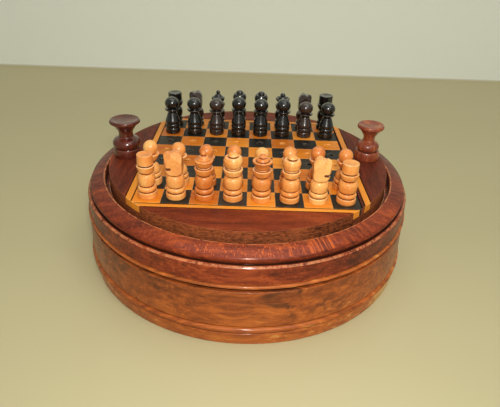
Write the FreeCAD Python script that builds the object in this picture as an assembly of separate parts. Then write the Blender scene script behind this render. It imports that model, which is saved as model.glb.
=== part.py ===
"""Round travelling chess set: a turned box, its lift-off lid, a round playing board and 32 pegged pieces.

Millimetres. The origin is the centre of the foot, +Z is up, -Y is the light player's side (the front).
The board rests in the lid, the lid rests on the box, and every piece stands in a peg hole of the board.
"""
import FreeCAD, Part
import math
import os

# Playing board ----------------------------------------------------------------
SQUARE = 12.7            # side of one playing square
SQUARES = 8              # squares along each side
INLAY = 3.4              # thickness of the laminated playing surface
CORE = 8.6               # thickness of the disc below it
CORNER_TRIM = 0.5        # how far the round edge cuts into the corner squares
STRIP_WIDTH = 3.3        # boxwood strips round the squares
FRONT_GAP_LEFT = 0.45    # the front strip stands a little off the squares at its left end
SIDE_GAP_FRONT = 1.75    # width of the dark sliver beside the right strip, at the front
SIDE_GAP_BACK = 0.3      # and at the back

# Pegs and holes ---------------------------------------------------------------
PEG_RADIUS = 1.25
PEG_LENGTH = 5.0
PEG_CLEARANCE = 0.15     # radial
PEG_HOLE_SPARE = 1.0     # depth left below a seated peg
PEG_TIP = 0.35           # chamfer on the end of a peg

# Lid --------------------------------------------------------------------------
GROOVE_WIDTH = 2.3       # open groove between the board and the rim
GROOVE_DEPTH = 4.7       # groove floor below the inner edge of the rim
SEAT_CLEARANCE = 0.3     # radial, between the board and its seat
BOARD_PROUD = 4.1        # board top above the inner edge of the rim
RIM_WIDTH = 9.1          # inner edge of the rim to the widest part of the lid
RIM_FALL = 2.8           # inner edge of the rim down to its outer corner
RIM_COVE = 2.6           # height of the moulding below the outer corner
RIM_QUIRK = 2.8          # depth of the cut between that moulding and the band
LID_BAND = 9.1           # plain band at the bottom of the lid
LID_WEB = 4.8            # thickness under the board

# Box --------------------------------------------------------------------------
FOOT = 6.9               # foot band
FOOT_BEAD = 3.3          # bead between foot and wall
WALL_HEIGHT = 18.8       # plain part of the wall
LIP_COVE = 1.7           # hollow moulding under the lip bead
LIP_BEAD = 1.5           # bead on the lip that the lid sits on
WALL = 7.4               # wall thickness
FLOOR = 6.0              # floor thickness
BOX_PROUD = 0.5          # wall outside the lid's widest part
BEAD_PROUD = 0.9         # beads outside the wall
COVE_DEPTH = 2.0         # hollow moulding inside the wall's face
EDGE = 0.5               # softened edges
SPIGOT_LENGTH = 4.0      # part of the lid that drops into the box
SPIGOT_WALL = 3.6
SPIGOT_CLEARANCE = 0.3   # radial

# Knobs ------------------------------------------------------------------------
KNOB_INSET = 8.2         # knob axis inside the edge of the board
LEFT_KNOB_SET_OFF = -2.0    # the knobs stand a little off the centre line, front to back
RIGHT_KNOB_SET_OFF = 4.5
TENON_RADIUS = 3.0
TENON_LENGTH = 8.0
TENON_CLEARANCE = 0.05   # radial, filled with glue
TENON_SPARE = 0.5        # depth left below a tenon
LEFT_KNOB_HEIGHT = 19.6
LEFT_KNOB_RADIUS = 7.8
RIGHT_KNOB_HEIGHT = 18.7
RIGHT_KNOB_RADIUS = 7.0

# Pieces -----------------------------------------------------------------------
LIGHT_GIRTH = 4.4        # radius of a light piece at its base
DARK_GIRTH = 4.15        # radius of a dark piece at its base
KNIGHT_CHEEK = 2.9       # half thickness of a carved horse head

# Worked out from the sizes above ----------------------------------------------
HALF_BOARD = SQUARE * SQUARES / 2
DISC_RADIUS = HALF_BOARD * math.sqrt(2) - CORNER_TRIM
RECESS_RADIUS = DISC_RADIUS + GROOVE_WIDTH
SEAT_RADIUS = DISC_RADIUS + SEAT_CLEARANCE
LID_RADIUS = RECESS_RADIUS + RIM_WIDTH
BOX_RADIUS = LID_RADIUS + BOX_PROUD
BORE_RADIUS = BOX_RADIUS - WALL
SPIGOT_RADIUS = BORE_RADIUS - SPIGOT_CLEARANCE

WALL_BOTTOM = FOOT + FOOT_BEAD
WALL_TOP = WALL_BOTTOM + WALL_HEIGHT
LIP_BOTTOM = WALL_TOP + LIP_COVE
JOINT = LIP_BOTTOM + LIP_BEAD
BAND_TOP = JOINT + LID_BAND
RIM_CORNER = BAND_TOP + RIM_COVE
RIM_TOP = RIM_CORNER + RIM_FALL
BOARD_TOP = RIM_TOP + BOARD_PROUD
INLAY_BOTTOM = BOARD_TOP - INLAY
BOARD_BOTTOM = INLAY_BOTTOM - CORE
GROOVE_FLOOR = RIM_TOP - GROOVE_DEPTH
WEB_BOTTOM = BOARD_BOTTOM - LID_WEB

HOLE_RADIUS = PEG_RADIUS + PEG_CLEARANCE
HOLE_BOTTOM = BOARD_TOP - PEG_LENGTH - PEG_HOLE_SPARE
KNOB_REACH = DISC_RADIUS - KNOB_INSET
STRIP_OUTER = HALF_BOARD + STRIP_WIDTH


# Shared shapes ----------------------------------------------------------------
def section(points):
    """Closed flat face in the XZ plane from (x, z) and (x, z, bulge) points.

    A third value makes the run up to that point an arc that stands out by that much on its right-hand
    side, which is the outside of an outline that runs upwards. The last run back to the start is straight.
    """
    edges = []
    start = points[0]
    for step in list(points[1:]) + [points[0]]:
        a = FreeCAD.Vector(start[0], 0, start[1])
        b = FreeCAD.Vector(step[0], 0, step[1])
        if len(step) == 3 and step is not points[0]:
            run = b - a
            outward = FreeCAD.Vector(run.z, 0, -run.x) / run.Length
            middle = (a + b) / 2 + outward * step[2]
            edges.append(Part.Arc(a, middle, b).toShape())
        else:
            edges.append(Part.LineSegment(a, b).toShape())
        start = step
    return Part.Face(Part.Wire(edges))


def turned(points):
    """Solid turned about the Z axis from half an outline, which starts and ends on the axis."""
    axis = FreeCAD.Vector(0, 0, 1)
    return section(points).revolve(FreeCAD.Vector(0, 0, 0), axis, 360)


def scaled(outline, girth, height):
    """Outline with its radii and bulges times girth, and its heights times height."""
    return [(x * girth, z * height) + tuple(b * girth for b in bulge) for x, z, *bulge in outline]


def slab(low_x, high_x, low_y, high_y, low_z, high_z):
    """Upright block between two corners."""
    corner = FreeCAD.Vector(low_x, low_y, low_z)
    return Part.makeBox(high_x - low_x, high_y - low_y, high_z - low_z, corner)


def prism(outline, low_z, high_z):
    """Upright solid on a flat outline of (x, y) points."""
    corners = [FreeCAD.Vector(x, y, low_z) for x, y in outline]
    face = Part.Face(Part.makePolygon(corners + corners[:1]))
    return face.extrude(FreeCAD.Vector(0, 0, high_z - low_z))


def post(radius, low_z, high_z, x=0.0, y=0.0):
    """Upright round bar, or the hole that it leaves."""
    return Part.makeCylinder(radius, high_z - low_z, FreeCAD.Vector(x, y, low_z))


def square_centre(file, rank):
    """Centre of a square: file 0 is at the left and rank 0 at the front."""
    return (file + 0.5) * SQUARE - HALF_BOARD, (rank + 0.5) * SQUARE - HALF_BOARD


# Box and lid ------------------------------------------------------------------
def box_body():
    """Turned bowl with a foot, a bead above it, a plain wall, and a beaded lip."""
    wall_foot = BOX_RADIUS + EDGE
    bowl = turned([
        (0, 0),
        (BOX_RADIUS - EDGE, 0),
        (BOX_RADIUS, EDGE, 0.2),
        (BOX_RADIUS + EDGE, FOOT - EDGE, 0.2),
        (BOX_RADIUS, FOOT),
        (BOX_RADIUS, WALL_BOTTOM, BEAD_PROUD + EDGE),
        (wall_foot, WALL_BOTTOM + EDGE),
        (BOX_RADIUS, WALL_TOP - EDGE),
        (BOX_RADIUS - EDGE, WALL_TOP),
        (BOX_RADIUS - COVE_DEPTH, WALL_TOP),
        (BOX_RADIUS - EDGE, LIP_BOTTOM, -EDGE),
        (BOX_RADIUS - EDGE, JOINT, BEAD_PROUD),
        (0, JOINT),
    ])
    return bowl.cut(post(BORE_RADIUS, FLOOR, JOINT))


def lid():
    """Turned lid: domed rim, rounded moulding cut in above a band, recess for the board, spigot below."""
    spigot_bottom = JOINT - SPIGOT_LENGTH
    spigot_bore = SPIGOT_RADIUS - SPIGOT_WALL
    return turned([
        (0, WEB_BOTTOM),
        (spigot_bore, WEB_BOTTOM),
        (spigot_bore, spigot_bottom),
        (SPIGOT_RADIUS - EDGE, spigot_bottom),
        (SPIGOT_RADIUS, spigot_bottom + EDGE),
        (SPIGOT_RADIUS, JOINT),
        (LID_RADIUS - EDGE, JOINT),
        (LID_RADIUS, JOINT + EDGE),
        (LID_RADIUS - EDGE / 2, BAND_TOP - 2 * EDGE),
        (LID_RADIUS - 2 * EDGE, BAND_TOP, EDGE / 2),
        (LID_RADIUS - RIM_QUIRK, BAND_TOP),
        (LID_RADIUS - 3 * EDGE, RIM_CORNER, EDGE / 2),
        (RECESS_RADIUS + EDGE, RIM_TOP, EDGE),
        (RECESS_RADIUS, RIM_TOP - EDGE, EDGE / 4),
        (RECESS_RADIUS, GROOVE_FLOOR),
        (SEAT_RADIUS, GROOVE_FLOOR),
        (SEAT_RADIUS, BOARD_BOTTOM),
        (0, BOARD_BOTTOM),
    ])


# Board ------------------------------------------------------------------------
def knob_place(side):
    """Where a knob stands; side is -1 for the left knob and 1 for the right one."""
    return side * KNOB_REACH, LEFT_KNOB_SET_OFF if side < 0 else RIGHT_KNOB_SET_OFF


def knob_hole(side):
    """Hole for a knob's tenon."""
    radius = TENON_RADIUS + TENON_CLEARANCE
    return post(radius, BOARD_TOP - TENON_LENGTH, BOARD_TOP, *knob_place(side))


def board_core():
    """Plain disc that the playing surface is glued to, with the lower ends of the holes."""
    disc = turned([
        (0, BOARD_BOTTOM),
        (DISC_RADIUS - EDGE, BOARD_BOTTOM),
        (DISC_RADIUS, BOARD_BOTTOM + EDGE),
        (DISC_RADIUS, INLAY_BOTTOM),
        (0, INLAY_BOTTOM),
    ])
    holes = [knob_hole(-1), knob_hole(1)]
    for file in range(SQUARES):
        for rank in range(SQUARES):
            holes.append(post(HOLE_RADIUS, HOLE_BOTTOM, BOARD_TOP, *square_centre(file, rank)))
    return disc.cut(holes)


def inlay(shape):
    """The part of a laminate that lies inside the round edge."""
    return shape.common(post(DISC_RADIUS, INLAY_BOTTOM, BOARD_TOP))


def squares(parity):
    """Half of the playing squares, each with its peg hole; parity 0 holds the front left corner."""
    solids = []
    for file in range(SQUARES):
        for rank in range(SQUARES):
            if (file + rank) % 2 == parity:
                x, y = square_centre(file, rank)
                half = SQUARE / 2
                tile = slab(x - half, x + half, y - half, y + half, INLAY_BOTTOM, BOARD_TOP)
                solids.append(inlay(tile).cut(post(HOLE_RADIUS, INLAY_BOTTOM, BOARD_TOP, x, y)))
    return Part.makeCompound(solids)


def front_strip():
    """Boxwood strip along the front of the squares, a hair off them at its left end."""
    outline = [
        (-DISC_RADIUS, -STRIP_OUTER),
        (DISC_RADIUS, -STRIP_OUTER),
        (DISC_RADIUS, -HALF_BOARD),
        (-HALF_BOARD, -HALF_BOARD - FRONT_GAP_LEFT),
        (-DISC_RADIUS, -HALF_BOARD - FRONT_GAP_LEFT),
    ]
    return inlay(prism(outline, INLAY_BOTTOM, BOARD_TOP))


def back_strip():
    """Boxwood strip along the back of the squares."""
    return inlay(slab(-DISC_RADIUS, DISC_RADIUS, HALF_BOARD, STRIP_OUTER, INLAY_BOTTOM, BOARD_TOP))


def left_strip():
    """Boxwood strip along the left side of the squares."""
    return inlay(slab(-STRIP_OUTER, -HALF_BOARD, -HALF_BOARD, HALF_BOARD, INLAY_BOTTOM, BOARD_TOP))


def right_edges():
    """Where the right strip starts, at the front and at the back of the squares."""
    return HALF_BOARD + SIDE_GAP_FRONT, HALF_BOARD + SIDE_GAP_BACK


def right_sliver():
    """Dark wedge that fills the space between the squares and the right strip."""
    front, back = right_edges()
    outline = [
        (HALF_BOARD, -HALF_BOARD),
        (front, -HALF_BOARD),
        (back, HALF_BOARD),
        (HALF_BOARD, HALF_BOARD),
    ]
    return inlay(prism(outline, INLAY_BOTTOM, BOARD_TOP))


def right_strip():
    """Boxwood strip along the right side, set at a slight angle beside the sliver."""
    front, back = right_edges()
    outline = [
        (front, -HALF_BOARD),
        (front + STRIP_WIDTH, -HALF_BOARD),
        (back + STRIP_WIDTH, HALF_BOARD),
        (back, HALF_BOARD),
    ]
    return inlay(prism(outline, INLAY_BOTTOM, BOARD_TOP))


def front_segment():
    """Dark segment of the disc in front of the squares."""
    return inlay(slab(-DISC_RADIUS, DISC_RADIUS, -DISC_RADIUS, -STRIP_OUTER, INLAY_BOTTOM, BOARD_TOP))


def back_segment():
    """Dark segment of the disc behind the squares."""
    return inlay(slab(-DISC_RADIUS, DISC_RADIUS, STRIP_OUTER, DISC_RADIUS, INLAY_BOTTOM, BOARD_TOP))


def left_segment():
    """Dark segment at the left, drilled for its knob."""
    block = slab(-DISC_RADIUS, -STRIP_OUTER, -HALF_BOARD, HALF_BOARD, INLAY_BOTTOM, BOARD_TOP)
    return inlay(block).cut(knob_hole(-1))


def right_segment():
    """Dark segment at the right, drilled for its knob."""
    front, back = right_edges()
    outline = [
        (front + STRIP_WIDTH, -HALF_BOARD),
        (DISC_RADIUS, -HALF_BOARD),
        (DISC_RADIUS, HALF_BOARD),
        (back + STRIP_WIDTH, HALF_BOARD),
    ]
    return inlay(prism(outline, INLAY_BOTTOM, BOARD_TOP)).cut(knob_hole(1))


TIP = 0.05               # small flat on the crown of a turned part, as a share of its radius

# Knobs: outlines on a radius of 1 and a height of 1, above the board -----------
LEFT_KNOB = [
    (0.86, 0.0), (0.88, 0.22, 0.02), (0.80, 0.24), (0.66, 0.50, 0.20), (0.50, 0.54),
    (0.47, 0.64, -0.01), (0.60, 0.77, -0.03), (0.97, 0.93, -0.03), (0.93, 1.0, 0.04), (0.80, 1.0),
    (TIP, 0.96, -0.02), (0.0, 0.96),
]
RIGHT_KNOB = [
    (0.92, 0.0), (0.94, 0.22, 0.02), (0.72, 0.25), (0.56, 0.50, 0.19), (0.44, 0.54),
    (0.43, 0.62, -0.01), (0.56, 0.74, -0.03), (0.97, 0.92, -0.03), (0.92, 1.0, 0.04), (0.78, 1.0),
    (TIP, 0.96, -0.02), (0.0, 0.96),
]


def knob(outline, radius, height, side):
    """Turned handle with a tenon below, standing on the board."""
    tenon_end = TENON_SPARE - TENON_LENGTH
    tenon = [(0, tenon_end), (TENON_RADIUS, tenon_end), (TENON_RADIUS, 0)]
    x, y = knob_place(side)
    return turned(tenon + scaled(outline, radius, height)).translated(FreeCAD.Vector(x, y, BOARD_TOP))


# Chess pieces: outlines in millimetres above the board, on a base of radius 1 ---
PEG = [
    (0, -PEG_LENGTH), (PEG_RADIUS - PEG_TIP, -PEG_LENGTH), (PEG_RADIUS, PEG_TIP - PEG_LENGTH), (PEG_RADIUS, 0),
]

STEM = [
    (0.94, 0.0), (1.0, 0.5, 0.03), (0.99, 2.9, 0.02), (0.86, 3.2),
    (0.86, 5.5, 0.10), (0.82, 5.7), (0.78, 11.2, 0.16), (0.66, 11.4), (0.66, 11.7),
]
COLLAR = [(0.76, 11.8), (0.96, 14.2, 0.05), (0.92, 14.9, 0.02), (0.76, 15.0), (0.76, 15.3)]

ROOK_HEAD = [
    (0.84, 15.4), (0.88, 16.0, 0.02), (0.86, 19.6), (0.80, 20.0, 0.02), (0.66, 20.0),
    (TIP, 19.4, -0.02), (0.0, 19.4),
]
BISHOP_HEAD = [
    (0.62, 15.4), (0.92, 17.6, 0.08), (0.90, 19.4, 0.05), (0.80, 20.3, 0.01), (0.44, 20.3, -0.02),
    (0.44, 20.6), (0.48, 21.4, 0.05), (TIP, 22.1, 0.10), (0.0, 22.1),
]
QUEEN_HEAD = [
    (0.64, 15.4), (0.98, 18.2, -0.06), (1.0, 18.9, 0.03), (0.86, 19.3, 0.02), (0.62, 18.9, -0.02),
    (0.36, 20.2, 0.08), (0.32, 20.4), (0.32, 21.4, 0.08), (TIP, 21.9, 0.06), (0.0, 21.9),
]
KING_HEAD = [
    (0.62, 15.4), (0.94, 17.9, 0.06), (0.95, 18.3, 0.01), (0.88, 18.6, 0.01), (0.70, 18.8),
    (0.42, 20.2, -0.02), (0.30, 20.45), (0.22, 20.75), (TIP, 22.8, 0.16), (0.0, 22.8),
]
LIGHT_PAWN = [
    (0.94, 0.0), (1.0, 0.5, 0.03), (0.99, 3.4, 0.02), (0.88, 3.8), (0.90, 5.8, 0.07), (0.84, 6.0),
    (0.40, 10.6, 0.17), (0.36, 11.0), (0.58, 12.0, -0.02), (0.86, 14.6, 0.03), (0.80, 15.0, 0.02),
    (0.40, 15.0), (0.74, 17.7, 0.10), (TIP, 21.0, 0.21), (0.0, 21.0),
]
DARK_PAWN = [
    (0.95, 0.0), (1.0, 0.4, 0.02), (1.0, 3.3, 0.02), (0.92, 3.7), (0.97, 5.9, 0.07), (0.90, 6.2),
    (0.98, 7.4, 0.03), (0.62, 12.4, 0.03), (0.58, 12.9), (0.98, 14.0, 0.02), (0.96, 14.7, 0.03),
    (0.58, 15.3, -0.02), (0.98, 18.2, 0.10), (TIP, 21.6, 0.28), (0.0, 21.6),
]
HEADS = {"rook": ROOK_HEAD, "bishop": BISHOP_HEAD, "queen": QUEEN_HEAD, "king": KING_HEAD}

# Horse head, side view facing +X: mouth cut low in front, a small notch between ear and brow at the flat top.
HORSE = [
    (-0.60, 11.7), (0.60, 11.7), (0.86, 12.7), (0.90, 14.0), (0.40, 14.9), (0.93, 15.8), (1.0, 16.4),
    (1.0, 20.6), (0.90, 21.9), (0.56, 22.4), (0.42, 21.7), (0.16, 21.9), (0.04, 22.3), (-0.52, 21.7),
    (-0.78, 20.0), (-0.80, 13.2),
]
HORSE_BLANK = [
    (0.0, 11.7), (0.74, 11.7), (0.99, 12.9, 0.03), (1.02, 14.0), (1.02, 21.0), (0.98, 22.4), (0.0, 22.4),
]


def turned_piece(outline, girth, height):
    """Piece turned in one with its peg, standing at the origin."""
    return turned(PEG + scaled(outline, girth, height))


def knight(girth, height, facing):
    """Turned stem that carries a carved horse head, which faces +X (1) or -X (-1)."""
    stem = turned_piece(STEM + [(0.0, STEM[-1][1])], girth, height)
    profile = section(scaled(HORSE, girth, height))
    near_cheek = profile.translated(FreeCAD.Vector(0, -KNIGHT_CHEEK, 0))
    plate = near_cheek.extrude(FreeCAD.Vector(0, 2 * KNIGHT_CHEEK, 0))
    head = plate.common(turned(scaled(HORSE_BLANK, girth, height)))
    if facing < 0:
        head = head.mirror(FreeCAD.Vector(0, 0, 0), FreeCAD.Vector(1, 0, 0))
    return stem.fuse(head).removeSplitter()


def piece(kind, side, girth, height, facing):
    """One piece of a kind at the origin; girth is its base radius and height stretches it."""
    if kind == "pawn":
        return turned_piece(LIGHT_PAWN if side == "light" else DARK_PAWN, girth, height)
    if kind == "knight":
        return knight(girth, height, facing)
    return turned_piece(STEM + COLLAR + HEADS[kind], girth, height)


# Heights of the pawns from left to right, as shares of the outline's own height.
LIGHT_PAWNS = [1.01, 0.98, 0.95, 0.96, 0.92, 0.96, 0.99, 0.95]
DARK_PAWNS = [0.96, 0.96, 0.95, 1.01, 0.98, 1.0, 0.94, 0.94]

# Back ranks from left to right: name, kind, share of the girth, share of the height, knight's facing.
LIGHT_RANK = [
    ("rook_left", "rook", 1.02, 1.02, 0),
    ("knight_left", "knight", 1.02, 1.0, -1),
    ("king", "king", 1.0, 1.0, 0),
    ("bishop_left", "bishop", 0.99, 1.0, 0),
    ("queen", "queen", 1.01, 1.0, 0),
    ("bishop_right", "bishop", 0.98, 0.98, 0),
    ("knight_right", "knight", 0.96, 0.95, 1),
    ("rook_right", "rook", 0.95, 0.97, 0),
]
DARK_RANK = [
    ("rook_left", "rook", 1.04, 0.99, 0),
    ("knight_left", "knight", 0.97, 0.93, -1),
    ("king", "king", 1.0, 0.95, 0),
    ("bishop_left", "bishop", 1.0, 0.98, 0),
    ("bishop_right", "bishop", 0.96, 0.97, 0),
    ("queen", "queen", 0.98, 0.96, 0),
    ("knight_right", "knight", 0.96, 0.95, 1),
    ("rook_right", "rook", 1.04, 1.04, 0),
]


def stand(shape, file, rank):
    """Move a piece from the origin onto its square."""
    x, y = square_centre(file, rank)
    return shape.translated(FreeCAD.Vector(x, y, BOARD_TOP))


def army(side, girth, ranks, pawns, back_row, pawn_row):
    """All sixteen pieces of one side, by node name, on their squares."""
    pieces = {}
    for file, (name, kind, wide, tall, facing) in enumerate(ranks):
        pieces[f"{side}_{name}"] = stand(piece(kind, side, girth * wide, tall, facing), file, back_row)
    for file, tall in enumerate(pawns):
        pieces[f"{side}_pawn_{file + 1}"] = stand(piece("pawn", side, girth, tall, 0), file, pawn_row)
    return pieces


def build():
    """Every sub-part of the set, by node name."""
    shapes = {
        "box_body": box_body(),
        "lid": lid(),
        "board_core": board_core(),
        "light_squares": squares(0),
        "dark_squares": squares(1),
        "front_strip": front_strip(),
        "back_strip": back_strip(),
        "left_strip": left_strip(),
        "right_strip": right_strip(),
        "right_sliver": right_sliver(),
        "front_segment": front_segment(),
        "back_segment": back_segment(),
        "left_segment": left_segment(),
        "right_segment": right_segment(),
        "left_knob": knob(LEFT_KNOB, LEFT_KNOB_RADIUS, LEFT_KNOB_HEIGHT, -1),
        "right_knob": knob(RIGHT_KNOB, RIGHT_KNOB_RADIUS, RIGHT_KNOB_HEIGHT, 1),
    }
    shapes.update(army("light", LIGHT_GIRTH, LIGHT_RANK, LIGHT_PAWNS, 0, 1))
    shapes.update(army("dark", DARK_GIRTH, DARK_RANK, DARK_PAWNS, SQUARES - 1, SQUARES - 2))
    return shapes


os.makedirs("parts", exist_ok=True)
for node, shape in build().items():
    print(node, len(shape.Solids), "valid" if shape.isValid() else "INVALID", round(shape.Volume, 1))
    shape.exportStep(f"parts/{node}.step")
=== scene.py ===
"""Looks of a round travelling chess set: turned box and lid, inlaid board, knobs and pegged pieces."""
import logging
import math
import random
from dataclasses import dataclass, field, replace
from enum import Enum

import bmesh
import bpy
from mathutils import Matrix, Vector


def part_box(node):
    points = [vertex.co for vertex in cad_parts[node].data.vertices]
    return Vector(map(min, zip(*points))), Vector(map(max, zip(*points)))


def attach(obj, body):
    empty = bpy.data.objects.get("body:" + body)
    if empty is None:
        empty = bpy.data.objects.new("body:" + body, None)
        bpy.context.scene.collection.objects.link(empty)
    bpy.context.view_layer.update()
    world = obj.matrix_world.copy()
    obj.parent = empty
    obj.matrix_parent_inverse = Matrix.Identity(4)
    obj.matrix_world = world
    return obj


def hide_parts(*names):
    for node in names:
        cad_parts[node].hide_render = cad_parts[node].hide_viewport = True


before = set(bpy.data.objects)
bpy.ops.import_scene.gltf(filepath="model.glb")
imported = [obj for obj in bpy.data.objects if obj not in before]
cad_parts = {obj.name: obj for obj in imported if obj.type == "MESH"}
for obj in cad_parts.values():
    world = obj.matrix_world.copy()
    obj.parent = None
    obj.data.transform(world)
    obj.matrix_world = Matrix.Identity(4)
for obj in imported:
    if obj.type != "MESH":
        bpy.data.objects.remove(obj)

log = logging.getLogger("chess_set")

MM = 0.001
Triple = tuple[float, float, float]
Colour = Triple
Mark = Triple                     # middle and half width of an arc in degrees, and its strength
Point = tuple[float, ...]
Section = tuple[Point, ...]
Piece = bpy.types.Object
Socket = bpy.types.NodeSocket
Feed = Socket | float | tuple | str   # what an input can be given
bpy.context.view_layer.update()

BOWL_SIDES = 256                  # corners of each ring of the box, the lid and the disc
KNOB_SIDES = 96
PIECE_SIDES = 64
CORNER = math.radians(22)         # an outline that turns more than this has a corner
SHARP_CORNER = math.radians(70)   # a corner that turns this much is a full ridge or recess
CLOSEST_RINGS = 0.004             # rings nearer than this are one, in millimetres
ON_AXIS = 1e-4                    # a smaller radius is a point on the axis, in millimetres


def linear(red: int, green: int, blue: int) -> Colour:
    """Scene colour of an 8-bit paint chart colour.

    Args:
        red, green, blue: its channels, from 0 to 255.
    Returns:
        The colour in linear light.
    """
    def channel(value: int) -> float:
        """One channel out of its display curve."""
        share = value / 255
        return share / 12.92 if share <= 0.04045 else ((share + 0.055) / 1.055) ** 2.4
    return channel(red), channel(green), channel(blue)


# ---------------------------------------------------------------- outlines and meshes
@dataclass(frozen=True)
class Station:
    """One ring of a turned part: radius and height in millimetres, and how far it is a ridge or a recess."""
    radius: float
    height: float
    ridge: float


@dataclass(frozen=True)
class Outline:
    """Half section of a turned part, from the axis at the bottom round to the axis at the top.

    Points are (radius, height), or (radius, height, rise) for an arc that stands out by rise from its chord.
    """
    points: Section
    soften: float = 0.15
    fade: float = 0.5
    step: float = 0.5

    def scaled(self, girth: float, height: float) -> "Outline":
        """The outline with its radii times girth and its heights times height."""
        return replace(self, points=tuple((p[0] * girth, p[1] * height) + tuple(b * girth for b in p[2:])
                                          for p in self.points))

    def jittered(self, rng: random.Random, amount: float) -> "Outline":
        """The outline as a second hand-turned copy would come out.

        Args:
            rng: the source of chance.
            amount: how far a radius may be out, as a share.
        Returns:
            The changed outline.
        """
        moved = []
        for p in self.points:
            if p[0] > 1.6 and p[1] > 0:
                girth, lift = 1 + rng.uniform(-amount, amount), rng.uniform(-amount, amount) * 3
                moved.append((p[0] * girth, p[1] + lift, *p[2:]))
            else:
                moved.append(p)
        return replace(self, points=tuple(moved))

    def _flattened(self) -> list[Vector]:
        """The outline with its arcs as short runs.

        Returns:
            Its points in order.
        """
        path = [Vector(self.points[0][:2])]
        for p in self.points[1:]:
            start, end = path[-1], Vector(p[:2])
            run = end - start
            rise = p[2] if len(p) > 2 else 0.0
            if abs(rise) < 1e-6 or run.length < 1e-6:
                path.append(end)
                continue
            outward = Vector((run.y, -run.x)).normalized()
            radius = (run.length ** 2 / 4 + rise ** 2) / (2 * rise)
            centre = (start + end) / 2 + outward * (rise - radius)
            spoke = start - centre
            sweep = 4 * math.atan2(2 * rise, run.length)
            count = max(4, math.ceil(abs(sweep * radius) / self.step))
            for i in range(1, count):
                turn = Matrix.Rotation(sweep * i / count, 2)
                path.append(centre + turn @ spoke)
            path.append(end)
        return path

    def stations(self) -> list[Station]:
        """Rings for the lathe, with every corner softened and marked as a ridge or a recess.

        Returns:
            The rings in order.
        """
        path = self._flattened()
        smooth, corners = [path[0]], []
        for before, here, after in zip(path, path[1:], path[2:]):
            a, b = here - before, after - here
            turn = math.atan2(a.x * b.y - a.y * b.x, a.dot(b))
            if abs(turn) < CORNER:
                smooth.append(here)
                continue
            reach = min(self.soften, 0.4 * a.length, 0.4 * b.length)
            enter, leave = here - a.normalized() * reach, here + b.normalized() * reach
            corners.append((len(smooth) + 1, max(-1.0, min(1.0, turn / SHARP_CORNER))))
            for t in (0.0, 0.33, 0.67, 1.0):
                smooth.append(enter.lerp(here, t).lerp(here.lerp(leave, t), t))
        smooth.append(path[-1])
        lengths = [0.0]
        for a, b in zip(smooth, smooth[1:]):
            lengths.append(lengths[-1] + (b - a).length)
        marks = [(lengths[i], value) for i, value in corners]
        stops = set(lengths)
        for at, _ in marks:
            for share in (-1.0, -0.5, 0.5, 1.0):
                stop = at + share * self.fade
                if 0 < stop < lengths[-1]:
                    stops.add(stop)
        rings, k = [], 0
        for stop in sorted(stops):
            while k < len(lengths) - 2 and lengths[k + 1] < stop:
                k += 1
            span = lengths[k + 1] - lengths[k]
            spot = smooth[k].lerp(smooth[k + 1], (stop - lengths[k]) / span if span > 0 else 0.0)
            ridge = sum(value * max(0.0, 1 - abs(stop - at) / self.fade) for at, value in marks)
            if rings and math.hypot(spot.x - rings[-1].radius, spot.y - rings[-1].height) < CLOSEST_RINGS:
                continue
            rings.append(Station(max(spot.x, 0.0), spot.y, max(-1.0, min(1.0, ridge))))
        return rings


def new_object(name: str, verts: list, faces: list, smooth: bool = True) -> Piece:
    """Object from plain mesh data in metres, linked to the scene with its normals outwards.

    Args:
        name: name of the piece.
        verts: corner places.
        faces: corner numbers of each face.
        smooth: whether its faces are shaded smooth.
    Returns:
        The new object, at the origin.
    """
    mesh = bpy.data.meshes.new(name)
    mesh.from_pydata(verts, [], faces)
    mesh.polygons.foreach_set("use_smooth", [smooth] * len(mesh.polygons))
    mesh.update()
    piece = bpy.data.objects.new(name, mesh)
    bpy.context.scene.collection.objects.link(piece)
    return piece


def paint(piece: Piece, name: str, values: list[float]) -> None:
    """Stores one number per corner of the mesh for a finish to read, in place of any it had."""
    layer = piece.data.attributes.get(name) or piece.data.attributes.new(name, "FLOAT", "POINT")
    layer.data.foreach_set("value", values)


def lathe(name: str, outline: Outline, x: float, y: float, seat: float, sides: int,
          tone: float = 0.5) -> Piece:
    """Turned piece with its axis upright.

    Args:
        name: name of the piece.
        outline: its half section in millimetres, heights counted from the seat.
        x, y: place of the axis, in metres.
        seat: height of the outline's zero, in metres.
        sides: corners of each ring.
        tone: how light this piece's own wood is, from 0 to 1.
    Returns:
        The finished object.
    """
    rings = outline.stations()
    verts, ridges, starts = [], [], []
    for ring in rings:
        starts.append(len(verts))
        around = 1 if ring.radius < ON_AXIS else sides
        for i in range(around):
            angle = math.tau * i / sides
            verts.append((x + ring.radius * MM * math.cos(angle), y + ring.radius * MM * math.sin(angle),
                          seat + ring.height * MM))
            ridges.append(ring.ridge)
    faces = []
    for k in range(len(rings) - 1):
        a, b = starts[k], starts[k + 1]
        lower_point = rings[k].radius < ON_AXIS
        upper_point = rings[k + 1].radius < ON_AXIS
        for i in range(sides):
            j = (i + 1) % sides
            if lower_point and upper_point:
                break
            if lower_point:
                faces.append((a, b + j, b + i))
            elif upper_point:
                faces.append((a + i, a + j, b))
            else:
                faces.append((a + i, a + j, b + j, b + i))
    piece = new_object(name, verts, faces)
    paint(piece, "ridge", ridges)
    paint(piece, "tone", [tone] * len(verts))
    return piece


def arc_weight(spot: Vector, marks: tuple[Mark, ...]) -> float:
    """How far a place round the axis lies in any of some marked arcs.

    Args:
        spot: the place.
        marks: the arcs.
    Returns:
        A weight from 0 to 1.
    """
    angle = math.degrees(math.atan2(spot.y, spot.x))
    away = [(abs((angle - middle + 180) % 360 - 180) / width, strength) for middle, width, strength in marks]
    return min(1.0, sum(strength * math.exp(-a * a) for a, strength in away))


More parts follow.
